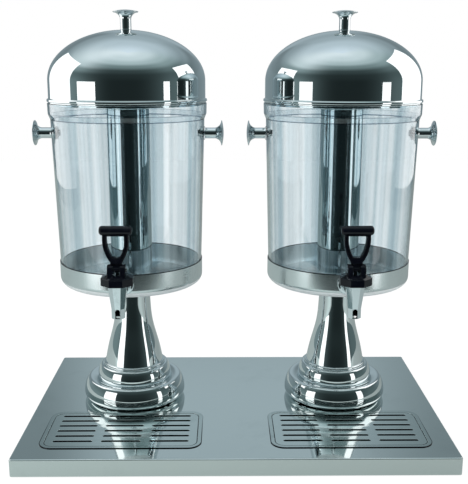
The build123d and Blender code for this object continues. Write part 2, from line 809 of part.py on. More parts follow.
# Plate with rows of round-ended slots in columns, set back a little from its middle.
def drip_grid():
    low = tray_top + pan_sheet - pan_recess
    plate = rounded_block(grid_width, grid_depth, grid_corner, low, low + grid_thickness)
    slots = GridLocations(slot_column_pitch, slot_row_pitch, slot_columns, slot_rows)
    pattern = [place * SlotOverall(slot_length, slot_width) for place in slots]
    cut = extrude(Sketch() + pattern, grid_thickness + 2 * overrun)
    return plate - Pos(0, slot_back_shift, low - overrun) * cut


def save(solid, name):
    export_step(solid, "parts/" + name + ".step")


station_pieces = {
    "pedestal": pedestal(), "base_dish": base_dish(), "dish_gasket": dish_gasket_ring(), "jar": jar(),
    "lid": lid(), "lid_knob": lid_knob(), "lid_knob_screw": lid_knob_screw(),
    "side_knob_minus_x": side_knob(toward_minus_x), "side_knob_plus_x": side_knob(toward_x),
    "side_knob_washers": side_knob_washers(), "side_knob_screws": side_knob_screws(),
    "ice_tube": ice_tube(), "ice_tube_gasket": ice_tube_gasket(), "tie_rod": tie_rod(),
    "spreader_washer": spreader_washer(), "tie_nut": tie_nut(), "tap_body": tap_body(),
    "tap_outer_washer": tap_outer_washer(), "tap_inner_washer": tap_inner_washer(), "tap_nut": tap_nut(),
    "seat_cup": seat_cup(), "tap_stem": tap_stem(), "tap_bonnet": tap_bonnet(), "tap_lever": tap_lever(),
    "tap_lever_pin": tap_lever_pin()}
drip_pieces = {"drip_pan": drip_pan(), "drip_grid": drip_grid()}

os.makedirs("parts", exist_ok=True)
save(base_tray(), "base_tray")
save(feet(), "feet")
for side, (x, y) in zip(("left", "right"), station_centres()):
    for name, piece in station_pieces.items():
        save(Pos(x, y, 0) * piece, side + "_" + name)
for side, (x, y) in zip(("left", "right"), drip_centres()):
    for name, piece in drip_pieces.items():
        save(Pos(x, y, 0) * piece, side + "_" + name)
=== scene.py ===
# Twin cold-drink dispenser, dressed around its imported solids.
# Sizes in the dictionaries are millimetres from the table's top unless a note says otherwise.
import json
from functools import partial
from math import asin, cos, degrees, radians, sin

import bmesh
import bpy
import numpy as np
from mathutils import Matrix, Vector


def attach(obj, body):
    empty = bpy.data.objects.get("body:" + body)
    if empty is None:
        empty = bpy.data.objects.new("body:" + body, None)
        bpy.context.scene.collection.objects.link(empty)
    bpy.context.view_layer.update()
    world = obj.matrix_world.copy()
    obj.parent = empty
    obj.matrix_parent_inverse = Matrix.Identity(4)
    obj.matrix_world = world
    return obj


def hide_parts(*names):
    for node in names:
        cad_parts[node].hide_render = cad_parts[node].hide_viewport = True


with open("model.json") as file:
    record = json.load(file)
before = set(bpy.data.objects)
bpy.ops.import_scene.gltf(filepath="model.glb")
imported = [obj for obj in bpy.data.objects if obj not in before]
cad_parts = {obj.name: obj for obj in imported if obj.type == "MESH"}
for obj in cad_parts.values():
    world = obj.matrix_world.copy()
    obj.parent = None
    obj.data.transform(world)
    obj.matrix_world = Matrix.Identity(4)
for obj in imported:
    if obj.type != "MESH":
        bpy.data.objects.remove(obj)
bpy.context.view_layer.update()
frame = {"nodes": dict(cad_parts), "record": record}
mm = 0.001
print("frame loaded:", len(frame["nodes"]), "nodes")

stations = {"left": (-149.0, 29.5), "right": (149.0, 29.5)}
wells = {"left": (-151.0, -94.75), "right": (151.0, -94.75)}
tap = dict(reach=158.0, shankZ=223.0, pinForward=5.0, pinZ=258.4)
spout = dict(
    tipZ=194.2, kneeZ=207.0, topZ=238.2, tipHalf=8.15, topHalf=12.2, edge=0.9, bore=5.2, boreTop=216.0,
    slotWidth=6.0, slotLow=195.0, slotHigh=207.0, cutHalf=8.0)


# Lines and outlines

def unit(vector):
    return vector / np.linalg.norm(vector, axis=-1, keepdims=True)


# Corners (across, up, radius) become one line where each corner is an arc tangent to both its sides:
# the point at share t of an arc of angle w is (sin((1-t)w) start + sin(tw) end) / sin w from its centre.
def roundedLine(corners, closed=False, arcSteps=7):
    points = np.array([corner[:2] for corner in corners], float)
    share = np.linspace(0, 1, arcSteps)[:, None]
    line = []
    for i, corner in enumerate(corners):
        radius = corner[2] if len(corner) > 2 else 0
        if radius == 0 or (not closed and i in (0, len(corners) - 1)):
            line.append(points[i][None])
            continue
        back, ahead = (unit(points[j % len(points)] - points[i]) for j in (i - 1, i + 1))
        half = np.arccos(np.clip(back @ ahead, -1, 1)) / 2
        centre = points[i] + unit(back + ahead) * radius / np.sin(half)
        start = points[i] + back * radius / np.tan(half) - centre
        end = points[i] + ahead * radius / np.tan(half) - centre
        turn = np.pi - 2 * half
        line.append(centre + (np.sin((1 - share) * turn) * start + np.sin(share * turn) * end) / np.sin(turn))
    return np.vstack(line)


def onCircle(t):
    return np.column_stack([np.cos(t), np.sin(t)])


# Ellipse arc: (centre + a cos t, centre + b sin t), with t in degrees.
def ellipseArc(centre, a, b, start, end, steps):
    return np.array(centre) + np.array((a, b)) * onCircle(np.radians(np.linspace(start, end, steps)))


# Circle arc through three points.
def arcThrough(p, q, r, steps):
    p, q, r = (np.array(v, float) for v in (p, q, r))
    rows = np.array([q - p, r - p])
    centre = p + np.linalg.solve(2 * rows, (rows ** 2).sum(1))
    a, b, c = (np.arctan2(*(v - centre)[::-1]) for v in (p, q, r))
    sweep = (c - a) % (2 * np.pi)
    if (b - a) % (2 * np.pi) > sweep:
        sweep -= 2 * np.pi
    t = a + np.linspace(0, 1, steps) * sweep
    return centre + np.linalg.norm(p - centre) * onCircle(t)


# Natural cubic spline through points, along their chords: the second derivatives solve
# h0 m0 + 2 (h0 + h1) m1 + h1 m2 = 6 (slope1 - slope0), with none at the ends.
def splineLine(points, steps):
    points = np.array(points, float)
    h = np.linalg.norm(np.diff(points, axis=0), axis=1)
    knots = np.concatenate([[0], np.cumsum(h)])
    slope = np.diff(points, axis=0) / h[:, None]
    system = np.eye(len(points))
    target = np.zeros_like(points)
    inner = np.arange(1, len(points) - 1)
    system[inner, inner - 1] = h[:-1]
    system[inner, inner] = 2 * (h[:-1] + h[1:])
    system[inner, inner + 1] = h[1:]
    target[inner] = 6 * (slope[1:] - slope[:-1])
    m = np.linalg.solve(system, target)
    s = np.linspace(0, knots[-1], steps)
    k = np.clip(np.searchsorted(knots, s, side="right") - 1, 0, len(h) - 1)
    u, v, w = (s - knots[k])[:, None], (knots[k + 1] - s)[:, None], h[k][:, None]
    cubic = m[k] * v ** 3 / (6 * w) + m[k + 1] * u ** 3 / (6 * w)
    return cubic + (points[k] / w - m[k] * w / 6) * v + (points[k + 1] / w - m[k + 1] * w / 6) * u


# Rounded rectangle about zero, counter-clockwise.
def roundedRectangle(halfX, halfY, corner, arcSteps=9):
    corners = [(x * halfX, y * halfY, corner) for x, y in ((1, -1), (1, 1), (-1, 1), (-1, -1))]
    return roundedLine(corners, closed=True, arcSteps=arcSteps)


# Regular polygon with its sides at one from the middle, and rounded corners.
def roundedPolygon(sides, corner):
    angle = 2 * np.pi * (np.arange(sides) + 0.5) / sides
    reach = 1 / cos(np.pi / sides)
    return roundedLine([(reach * cos(a), reach * sin(a), corner) for a in angle], closed=True, arcSteps=5)


# Surfaces, as grids of points along a line and round it

# Outline carried up a line: at (s, z) of the line the outline is scaled by s.
def scaledGrid(outline, line):
    flat = line[:, None, :1] * outline[None]
    return np.concatenate([flat, np.repeat(line[:, None, 1:2], len(outline), 1)], -1)


# Surface of revolution: (r cos a, r sin a, z).
def turnedGrid(line, steps):
    return scaledGrid(onCircle(np.linspace(0, 2 * np.pi, steps, endpoint=False)), line)


# Circle sections with their points at an outline's angles, at (r, z) of a line.
def roundGrid(outline, line):
    return scaledGrid(onCircle(np.arctan2(outline[:, 1], outline[:, 0])), line)


def alongMinusY(grid, z):
    return np.stack([grid[..., 0], -grid[..., 2], grid[..., 1] + z], -1)


def alongX(grid, z, sign=1):
    return np.stack([sign * grid[..., 2], grid[..., 1], z - sign * grid[..., 0]], -1)


# Quads between neighbours in a grid of points that is closed round its line.
def gridFaces(grid, wrapRows=False):
    here = np.arange(grid[..., 0].size).reshape(grid.shape[:2])
    above, beside = np.roll(here, -1, 0), np.roll(here, -1, 1)
    quads = np.stack([here, beside, np.roll(above, -1, 1), above], -1)
    return (quads if wrapRows else quads[:-1]).reshape(-1, 4).tolist()


def linked(name, data):
    thing = bpy.data.objects.new(name, data)
    bpy.context.scene.collection.objects.link(thing)
    return thing


# Merges poles and seams, points faces outward and keeps smooth curves with crisp corners.
def cleanMesh(mesh, creaseAngle):
    work = bmesh.new()
    work.from_mesh(mesh)
    bmesh.ops.remove_doubles(work, verts=work.verts, dist=1e-6)
    bmesh.ops.dissolve_degenerate(work, edges=work.edges, dist=1e-7)
    bmesh.ops.recalc_face_normals(work, faces=work.faces)
    work.to_mesh(mesh)
    work.free()
    mesh.polygons.foreach_set("use_smooth", np.ones(len(mesh.polygons), bool))
    mesh.set_sharp_from_angle(angle=radians(creaseAngle))


# Piece of the object: it moves with the body and stands in for the nodes.
def placePiece(name, mesh, slotName, body, nodes, creaseAngle):
    cleanMesh(mesh, creaseAngle)
    piece = linked(name, mesh)
    mesh.materials.append(finishes[slotName])
    piece.modifiers.new("evenShading", "WEIGHTED_NORMAL").keep_sharp = True
    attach(piece, body)
    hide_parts(*nodes)
    return piece


def gridPiece(name, grid, at, slotName, body, *nodes, wrapRows=False):
    mesh = bpy.data.meshes.new(name)
    mesh.from_pydata(((grid.reshape(-1, 3) + np.array(at)) * mm).tolist(), [], gridFaces(grid, wrapRows))
    return placePiece(name, mesh, slotName, body, nodes, creaseAngle=32)


# Flat shape from closed outlines, holes among them, with a thickness and rounded edges.
def platePiece(name, outlines, half, edge, turn, at, slotName, body, *nodes):
    curve = bpy.data.curves.new(name, "CURVE")
    curve.dimensions = "2D"
    curve.fill_mode = "BOTH"
    curve.extrude = (half - edge) * mm
    curve.bevel_depth = edge * mm
    curve.bevel_resolution = 2
    for outline in outlines:
        line = curve.splines.new("POLY")
        line.points.add(len(outline) - 1)
        flat = np.column_stack([outline * mm, np.zeros(len(outline)), np.ones(len(outline))])
        line.points.foreach_set("co", flat.ravel())
        line.use_cyclic_u = True
    curve.offset = -edge * mm
    holder = linked(name, curve)
    bpy.context.view_layer.update()
    mesh = bpy.data.meshes.new_from_object(holder)
    bpy.data.objects.remove(holder)
    bpy.data.curves.remove(curve)
    mesh.transform(Matrix.Translation(Vector(at) * mm) @ turn)
    mesh.name = name
    mesh.materials.clear()
    return placePiece(name, mesh, slotName, body, nodes, creaseAngle=40)


# Takes the cutter's shape out of a piece for good, and removes the cutter.
def cutAway(piece, cutter):
    cut = piece.modifiers.new("cut", "BOOLEAN")
    cut.operation = "DIFFERENCE"
    cut.solver = "EXACT"
    cut.object = cutter
    piece.modifiers.move(len(piece.modifiers) - 1, 0)
    bpy.context.view_layer.update()
    cutMesh = bpy.data.meshes.new_from_object(piece.evaluated_get(bpy.context.evaluated_depsgraph_get()))
    piece.modifiers.remove(cut)
    old = piece.data
    piece.data = cutMesh
    bpy.data.meshes.remove(old)
    bpy.data.objects.remove(cutter)


uprightXZ = Matrix.Rotation(radians(90), 4, "X")
uprightYZ = Matrix(((0, 0, 1, 0), (1, 0, 0, 0), (0, 1, 0, 0), (0, 0, 0, 1)))


# Nodes

# Feeds inputs by name or number: another node's output is linked, anything else is set.
def feed(node, inputs):
    for label, value in inputs.items():
        if isinstance(value, bpy.types.NodeSocket):
            node.id_data.links.new(value, node.inputs[label])
        else:
            node.inputs[label].default_value = value


def addNode(tree, kind, inputs=None, **settings):
    node = tree.nodes.new(kind)
    for label, value in settings.items():
        setattr(node, label, value)
    feed(node, inputs or {})
    return node


# Math node in the tree of the first output among its values.
def calc(operation, *values):
    tree = next(value.id_data for value in values if isinstance(value, bpy.types.NodeSocket))
    return addNode(tree, "ShaderNodeMath", dict(enumerate(values)), operation=operation).outputs[0]


minus, times, larger, unsigned = (partial(calc, kind) for kind in ("SUBTRACT", "MULTIPLY", "MAXIMUM", "ABSOLUTE"))


def squared(value):
    return times(value, value)


def addRange(value, low, high, toLow=0.0, toHigh=1.0, smooth=True):
    inputs = {"Value": value, "From Min": low, "From Max": high, "To Min": toLow, "To Max": toHigh}
    kind = "SMOOTHSTEP" if smooth else "LINEAR"
    return addNode(value.id_data, "ShaderNodeMapRange", inputs, interpolation_type=kind).outputs["Result"]


# Soft step between two sizes in millimetres.
def fade(value, low, high, start=1.0, end=0.0):
    return addRange(value, low * mm, high * mm, start, end)


def addNoise(vector, scale, detail, roughness=0.5, distortion=0.0):
    inputs = {"Vector": vector, "Scale": scale, "Detail": detail, "Roughness": roughness, "Distortion": distortion}
    return addNode(vector.id_data, "ShaderNodeTexNoise", inputs).outputs[0]


# Mix of two colours, each a node's output or three numbers.
def blend(share, first, second):
    pair = [value if isinstance(value, bpy.types.NodeSocket) else (*value, 1) for value in (first, second)]
    return addNode(share.id_data, "ShaderNodeMix", {0: share, 6: pair[0], 7: pair[1]}, data_type="RGBA").outputs[2]


def objectPlace(tree):
    return addNode(tree, "ShaderNodeTexCoord").outputs["Object"]


def splitVector(vector):
    return addNode(vector.id_data, "ShaderNodeSeparateXYZ", {0: vector}).outputs


# Distance, place across and place in depth from the nearer of two upright axes that lie as far from the
# middle, and the height.
def axisDistance(tree, axisX, axisY):
    x, y, z = splitVector(objectPlace(tree))
    across = minus(unsigned(x), axisX * mm)
    depth = minus(y, axisY * mm)
    return calc("SQRT", calc("ADD", squared(across), squared(depth))), across, depth, z


# Shader effects that several finishes share

def newGroup(name, inputs, outputs):
    group = bpy.data.node_groups.new(name, "ShaderNodeTree")
    for label, value in inputs.items():
        group.interface.new_socket(label, in_out="INPUT", socket_type="NodeSocketFloat").default_value = value
    for label in outputs:
        group.interface.new_socket(label, in_out="OUTPUT", socket_type="NodeSocketFloat")
    return group, group.nodes.new("NodeGroupInput").outputs, group.nodes.new("NodeGroupOutput")


# Turning marks: fine lines round each jar's own axis, as noise that is stretched along the turn.
def turningMarksGroup():
    values = {"Lines per metre": 900.0, "Roughness": 0.03, "Spread": 0.02}
    group, given, made = newGroup("turningMarks", values, ["Height", "Roughness"])
    radius, across, _, height = axisDistance(group, *stations["right"])
    depth = calc("SQRT", minus(squared(radius), squared(across)))  # the same in front and behind
    along = times(calc("ADD", radius, height), given["Lines per metre"])
    turns = [times(value, 6.0) for value in (across, depth)]
    joined = addNode(group, "ShaderNodeCombineXYZ", {0: along, 1: turns[0], 2: turns[1]})
    lines = addNoise(joined.outputs[0], 1.0, 3.0, 0.6)
    rough = calc("ADD", times(lines, given["Spread"]), given["Roughness"])
    feed(made, {"Height": lines, "Roughness": rough})
    return group


# Hand marks: soft patches that dull a polished surface a little.
def handMarksGroup():
    group, given, made = newGroup("handMarks", {"Scale": 14.0, "Low": 0.52, "High": 0.72}, ["Mask"])
    patches = addNoise(objectPlace(group), given["Scale"], 5.0, 0.65, 0.4)
    feed(made, {"Mask": addRange(patches, given["Low"], given["High"])})
    return group


# Skin: the fine grain of a moulded or rubber surface, with slow waves under it.
def mouldedSkinGroup():
    group, given, made = newGroup("mouldedSkin", {"Grain": 1800.0, "Waves": 60.0, "Share of waves": 0.5}, ["Height"])
    grain = addNoise(objectPlace(group), given["Grain"], 2.0)
    waves = addNoise(objectPlace(group), given["Waves"], 1.0)
    mix = addNode(group, "ShaderNodeMix", {"Factor": given["Share of waves"], "A": grain, "B": waves})
    feed(made, {"Height": mix.outputs["Result"]})
    return group


effects = {"turningMarks": turningMarksGroup(), "handMarks": handMarksGroup(), "mouldedSkin": mouldedSkinGroup()}


def useEffect(tree, name, values):
    return addNode(tree, "ShaderNodeGroup", values, node_tree=effects[name]).outputs


# Finishes

def newFinish(name):
    finish = bpy.data.materials.new(name)
    finish.use_nodes = True
    return finish, finish.node_tree, finish.node_tree.nodes["Principled BSDF"]


# Hand marks in a finish's colour and gloss, and its fine relief.
def addSurface(shader, v, roughness, height, bumpDistance, **limits):
    tree = shader.id_data
    mask = useEffect(tree, "handMarks", {"Scale": v["patchScale"], **limits})["Mask"]
    bump = addNode(tree, "ShaderNodeBump", {"Strength": v["bump"], "Distance": bumpDistance, "Height": height})
    feed(shader, {"Roughness": calc("MULTIPLY_ADD", mask, v["dulling"], roughness), "Normal": bump.outputs[0]})
    if "marked" in v:
        feed(shader, {"Base Color": blend(mask, v["colour"], v["marked"])})


# The finish's own colour, replaced by another where a mask is one; every use here paints shade with a darker colour.
def paintShadeWhere(shader, mask, colour):
    own = shader.inputs["Base Color"].links[0].from_socket
    feed(shader, {"Base Color": blend(mask, own, colour)})


# Distance out from a rounded rectangle round either well, and the place's y and z: it is the distance from
# the rectangle that is smaller by the corner's radius, less that radius.
def outlineDistance(tree, halfX, halfY, corner):
    x, y, z = splitVector(objectPlace(tree))
    overs = [minus(unsigned(minus(value, middle * mm)), (half - corner) * mm)
             for value, middle, half in zip((unsigned(x), y), wells["right"], (halfX, halfY))]
    outside = calc("SQRT", calc("ADD", *[squared(larger(over, 0.0)) for over in overs]))
    inside = calc("MINIMUM", larger(*overs), 0.0)
    return minus(calc("ADD", outside, inside), corner * mm), y, z


# Inside of the dish, brushed, and a painted shade line along the top of its rim, for the dark gap to the jar.
def satinInside(shader, v):
    radius, _, _, height = axisDistance(shader.id_data, *stations["right"])
    inside = fade(radius, v["satinRadius"] - 0.5, v["satinRadius"])
    polished = shader.inputs["Roughness"].links[0].from_socket
    rough = addNode(shader.id_data, "ShaderNodeMix", {"Factor": inside, "A": polished, "B": v["satinRoughness"]})
    metal = addRange(inside, 0.0, 1.0, 1.0, v["satinMetal"], smooth=False)
    feed(shader, {"Roughness": rough.outputs["Result"], "Metallic": metal})
    # Painted shade: a dark line along the top of the rim.
    paintShadeWhere(shader, fade(height, v["rimLow"] - 0.3, v["rimLow"], 0.0, 1.0), v["rimShadeColour"])


# Painted shade on thin sheet: a dark line along an outline, where the gap beside the edge is shaded, stronger towards
# the front, and all below a height, in the shade under the grid and in its slots.
def paintEdgeShade(shader, v):
    distance, y, z = outlineDistance(shader.id_data, *v["outline"])
    line = fade(unsigned(distance), v["lineHalf"] * 0.6, v["lineHalf"])
    front = fade(y, *(wells["right"][1] + run for run in v["frontFade"]), 1.0, v["backShare"])
    low = fade(z, v["wallTop"] - 0.2, v["wallTop"])
    paintShadeWhere(shader, larger(times(line, front), low), v["paintedShadeColour"])


# Painted shade inside the spout, dark and dull: nearer to a tap's own axis than the bore's radius, or between the
# slot's walls, and below the bore's roof.
def paintBoreShade(shader, v):
    axisX, axisY = stations["right"]
    radius, across, _, height = axisDistance(shader.id_data, axisX, axisY - tap["reach"])
    halfSlot, tip = spout["slotWidth"] / 2, spout["tipHalf"]
    slotWide = fade(unsigned(across), halfSlot + 0.02, halfSlot + 0.1)
    slot = times(slotWide, fade(radius, tip - 0.25, tip - 0.1))
    near = larger(fade(radius, v["boreRadius"], v["boreRadius"] + 0.5), slot)
    paintShadeWhere(shader, times(near, fade(height, v["boreRoof"] - 1.0, v["boreRoof"])), v["boreShadeColour"])


# Polished metal: turning marks in the gloss and a trace of relief, with hand marks over them.
def polishedMetal(name, v):
    finish, tree, shader = newFinish(name)
    feed(shader, {"Metallic": 1.0})
    values = {"Lines per metre": v["lines"], "Roughness": v["roughness"], "Spread": v["spread"]}
    marks = useEffect(tree, "turningMarks", values)
    addSurface(shader, v, marks["Roughness"], marks["Height"], 0.0001)
    # Painted shade inside the spout's bore and slot.
    if "boreRadius" in v:
        paintBoreShade(shader, v)
    # Brushed inside of the dish, and painted shade on its rim.
    if "satinRadius" in v:
        satinInside(shader, v)
    return finish


noiseSpan = (0.3, 0.7)  # where most of a noise lies


# Sheet metal: straight rolling lines along the tray and wide soft patches.
def rolledSheet(name, v):
    finish, tree, shader = newFinish(name)
    feed(shader, {"Metallic": 1.0})
    stretch = addNode(tree, "ShaderNodeMapping", {"Vector": objectPlace(tree), "Scale": v["stretch"]})
    lines = addNoise(stretch.outputs[0], 1.0, 4.0, 0.7)
    rough = addRange(lines, *noiseSpan, v["roughness"], v["roughness"] + v["spread"])
    addSurface(shader, v, rough, lines, 0.0001)
    # Painted shade along the sheet's edges, under the grid and in its slots.
    if "outline" in v:
        paintEdgeShade(shader, v)
    return finish


# Upright bands of deeper tint round the wall, from noise on the direction out from the axis.
def flowBands(tree, v):
    radius, across, depth, _ = axisDistance(tree, *stations["right"])
    direction = addNode(tree, "ShaderNodeCombineXYZ", {
        0: calc("DIVIDE", across, radius), 1: calc("DIVIDE", depth, radius), 2: v["bandSeed"]})
    return addRange(addNoise(direction.outputs[0], v["bandScale"], 2.0, 0.6), *v["bandLevels"])


# Clear jar: glass-like plastic, with painted shade on the slope under its collar and painted dark lines at the
# slope's edges, for the dark surroundings that the slope bends in, and with slow waves.
def clearPlastic(name, v):
    finish, tree, shader = newFinish(name)
    height = splitVector(objectPlace(tree))[2]
    low, high = v["chamferLow"], v["chamferHigh"]
    sloped = times(fade(height, low - 1, low + 1, 0.0, 1.0), fade(height, high - 1, high + 1))
    edges = [fade(unsigned(minus(height, level * mm)), *v[label])
             for level, label in ((low, "lowEdge"), (high, "highEdge"))]
    tint = blend(flowBands(tree, v), v["colour"], v["bandColour"])
    feed(shader, {"Transmission Weight": 1.0, "IOR": v["ior"], "Base Color": tint})
    # Painted shade on the slope under the collar, and painted dark lines at its edges.
    paintShadeWhere(shader, sloped, v["chamferShadeColour"])
    paintShadeWhere(shader, larger(*edges), v["paintedShadeColour"])
    skin = useEffect(tree, "mouldedSkin", {"Grain": 40.0, "Waves": v["waves"], "Share of waves": 1.0})
    addSurface(shader, v, v["roughness"], skin["Height"], 0.001)
    return finish


# Moulded plastic, rubber and silicone: fine grain, and hand marks in colour and gloss.
def mouldedSolid(name, v):
    finish, tree, shader = newFinish(name)
    feed(shader, {"IOR": 1.5, "Specular IOR Level": v.get("gloss", 0.5), "Transmission Weight": v.get("clear", 0.0),
                  "Subsurface Weight": v.get("through", 0.0), "Subsurface Radius": (0.002, 0.002, 0.002)})
    skin = useEffect(tree, "mouldedSkin", {"Grain": v["grain"], "Waves": 90.0, "Share of waves": v["wavy"]})
    addSurface(shader, v, v["roughness"], skin["Height"], 0.0003, Low=0.45, High=0.75)
    return finish


finishValues = {
    "polished_steel": (polishedMetal, dict(
        colour=(0.8, 0.85, 0.86), marked=(0.76, 0.81, 0.82), roughness=0.015, spread=0.03, lines=1500,
        patchScale=16, dulling=0.03, bump=0.03)),
    "dish_steel": (polishedMetal, dict(
        colour=(0.8, 0.86, 0.87), marked=(0.74, 0.8, 0.81), roughness=0.19, spread=0.06, lines=1200,
        patchScale=18, dulling=0.06, bump=0.05, satinRadius=101, satinRoughness=0.3, satinMetal=0.15,
        # Height and colour of the painted shade line along the rim's top.
        rimLow=234, rimShadeColour=(0.03, 0.035, 0.04))),
    "turned_steel": (polishedMetal, dict(
        colour=(0.8, 0.84, 0.85), marked=(0.72, 0.76, 0.77), roughness=0.03, spread=0.05, lines=2600,
        patchScale=60, dulling=0.06, bump=0.05)),
    "tap_chrome": (polishedMetal, dict(
        colour=(0.8, 0.87, 0.9), marked=(0.74, 0.81, 0.84), roughness=0.05, spread=0.04, lines=300,
        # The bore's radius, roof and colour on this line are for the painted shade inside the spout.
        patchScale=70, dulling=0.08, bump=0.02, boreRadius=5.3, boreRoof=217, boreShadeColour=(0.006, 0.008, 0.01))),
    "tray_steel": (rolledSheet, dict(
        colour=(0.8, 0.85, 0.84), marked=(0.76, 0.81, 0.8), roughness=0.03, spread=0.035,
        stretch=(8, 900, 60), patchScale=9, dulling=0.03, bump=0.02)),
    "grid_steel": (rolledSheet, dict(
        colour=(0.72, 0.79, 0.78), marked=(0.66, 0.73, 0.72), roughness=0.06, spread=0.05,
        stretch=(10, 1200, 60), patchScale=26, dulling=0.05, bump=0.03, outline=(99.75, 49.25, 12),
        # Painted shade: along the grid's outline, and below the height of its top, in its slots.
        lineHalf=0.7, frontFade=(-20, 50), backShare=0.6, wallTop=25.5, paintedShadeColour=(0.015, 0.018, 0.02))),
    "pan_steel": (rolledSheet, dict(
        colour=(0.66, 0.73, 0.72), marked=(0.58, 0.65, 0.64), roughness=0.08, spread=0.08,
        stretch=(10, 700, 60), patchScale=22, dulling=0.12, bump=0.04, outline=(106.05, 55.55, 18.3),
        # Painted shade: along the pan's outline where it meets the tray, and inside the pan under the grid.
        lineHalf=1.3, frontFade=(-20, 50), backShare=0.1, wallTop=24.4, paintedShadeColour=(0.03, 0.034, 0.037))),
    "screw_steel": (rolledSheet, dict(
        colour=(0.58, 0.6, 0.61), marked=(0.48, 0.5, 0.51), roughness=0.22, spread=0.15,
        stretch=(900, 900, 900), patchScale=90, dulling=0.1, bump=0.1)),
    "pin_steel": (rolledSheet, dict(
        colour=(0.64, 0.66, 0.67), marked=(0.52, 0.54, 0.55), roughness=0.16, spread=0.1,
        stretch=(60, 2500, 2500), patchScale=120, dulling=0.1, bump=0.06)),
    "clear_jar": (clearPlastic, dict(
        colour=(0.87, 0.915, 0.93), ior=1.5, roughness=0.0, dulling=0.015, patchScale=9, waves=7, bump=0.015,
        # The slope's heights, edges and colours give painted shade on the slope under the collar.
        chamferLow=433.6, chamferHigh=441, lowEdge=(0.2, 1.1, 1), highEdge=(0.2, 0.9, 0.4),
        chamferShadeColour=(0.68, 0.77, 0.81), paintedShadeColour=(0.14, 0.2, 0.26), bandColour=(0.58, 0.68, 0.72),
        bandScale=4.5, bandLevels=(0.4, 0.62), bandSeed=3.3)),
    "black_plastic": (mouldedSolid, dict(
        colour=(0.002, 0.0025, 0.005), marked=(0.004, 0.005, 0.008), roughness=0.08, dulling=0.1, gloss=0.28,
        patchScale=70, grain=3200, wavy=0.3, bump=0.08)),
    "black_rubber": (mouldedSolid, dict(
        colour=(0.018, 0.018, 0.019), marked=(0.04, 0.04, 0.04), roughness=0.6, dulling=0.2, patchScale=120,
        grain=2200, wavy=0.1, bump=0.3)),
    "white_silicone": (mouldedSolid, dict(
        colour=(0.78, 0.8, 0.8), marked=(0.7, 0.71, 0.7), roughness=0.38, dulling=0.15, patchScale=80,
        grain=1500, wavy=0.5, bump=0.1, through=0.3)),
    "clear_silicone": (mouldedSolid, dict(
        colour=(0.86, 0.9, 0.92), marked=(0.8, 0.84, 0.86), roughness=0.18, dulling=0.15, patchScale=80,
        grain=1500, wavy=0.5, bump=0.1, clear=1)),
}
finishes = {name: make(name, values) for name, (make, values) in finishValues.items()}
for entry in frame["record"]["subparts"]:
    node = frame["nodes"][entry["node"]]
    for holder in node.material_slots:
        thin = entry["node"].endswith("side_knob_washers")
        holder.material = finishes["clear_silicone" if thin else entry["material_slot"]]
print("finishes made:", len(finishes))


# Turned pieces of one station

# Points round them.
wideSteps, tubeSteps, neckSteps, knobSteps, gripSteps, hubSteps = 224, 128, 96, 72, 48, 40
dome = dict(
    radius=107.6, rise=67.5, springZ=485.5, sheet=1.0, rimZ=455.6, neckRadius=108.2, beadRadius=109.8, beadLow=457.2,
    beadTop=461.0, lipRadius=104.9, lipLow=452.7, lipRise=2.6)


def domeLine(radius, rise, springZ, sheet, rimZ, neckRadius, beadRadius, beadLow, beadTop, lipRadius, lipLow,
             lipRise):
    inner, lipInner = radius - sheet, lipRadius - sheet
    bead = roundedLine([
        (radius, beadTop + 3), (radius, beadTop + 0.6, 0.8), (beadRadius, beadTop - 0.3, 1.3),
        (beadRadius, beadLow, 1.3), (neckRadius, beadLow, 0.3), (neckRadius, rimZ, 0.3), (lipRadius, rimZ, 0.5),
        (lipRadius, lipLow, 0.3), (lipInner, lipLow, 0.3), (lipInner, rimZ + lipRise, 1.5),
        (inner, rimZ + 2 * lipRise, 1.5), (inner, springZ - 4)])
    return np.vstack([ellipseArc((0, springZ), radius, rise, 90, 0, 64)[:-1], [(radius, springZ)], bead,
                      ellipseArc((0, springZ), inner, rise - sheet, 0, 90, 48)])


knob = dict(
    footRadius=7.8, footTop=0.3, stemRadius=7.5, stemLow=1.5, flareStart=14.5, flareMid=(10.3, 20.0),
    flareEnd=(16.6, 22.8), rim=17.4, rimLow=23.4, rimHigh=24.0, length=26.3)


def knobLine(footRadius, footTop, stemRadius, stemLow, flareStart, flareMid, flareEnd, rim, rimLow, rimHigh, length):
    foot = roundedLine([(0, 0), (footRadius, 0, 0.3), (footRadius, footTop, 0.5), (stemRadius, stemLow, 0.8),
                        (stemRadius, flareStart - 0.5)])
    flare = arcThrough((stemRadius, flareStart), flareMid, flareEnd, 14)
    capEdge, rise = rim * 0.8, length - rimHigh
    lip = roundedLine([flareEnd, (rim, rimLow, 0.25), (rim, rimHigh, 0.35), (capEdge, rimHigh + 0.85)], arcSteps=5)
    capRadius = (rim ** 2 + rise ** 2) / (2 * rise)
    across = np.linspace(capEdge, 0, 12)
    cap = np.column_stack([across, length - capRadius + np.sqrt(capRadius ** 2 - across ** 2)])
    return np.vstack([foot, flare, lip[1:-1], cap])


pedestal = dict(
    low=25.0, high=201.0, wall=1.6, lip=54.0, lowRing=74.0, footRun=12.0, footRise=10.0, lowFace=39.0, lowLean=31.0,
    lowTop=57.3, root=(52.4, 54.2), highRing=53.5, highFoot=58.5, highFace=32.0, highLean=30.0, highTop=76.3,
    bead=[(44.3, 76.3), (44.9, 78.2), (42.0, 80.2)], boltHole=9.3, plate=3.0,
    stem=[(42.0, 80.2), (37.2, 104.0), (28.4, 139.0), (25.4, 172.0), (24.6, 201.0)])


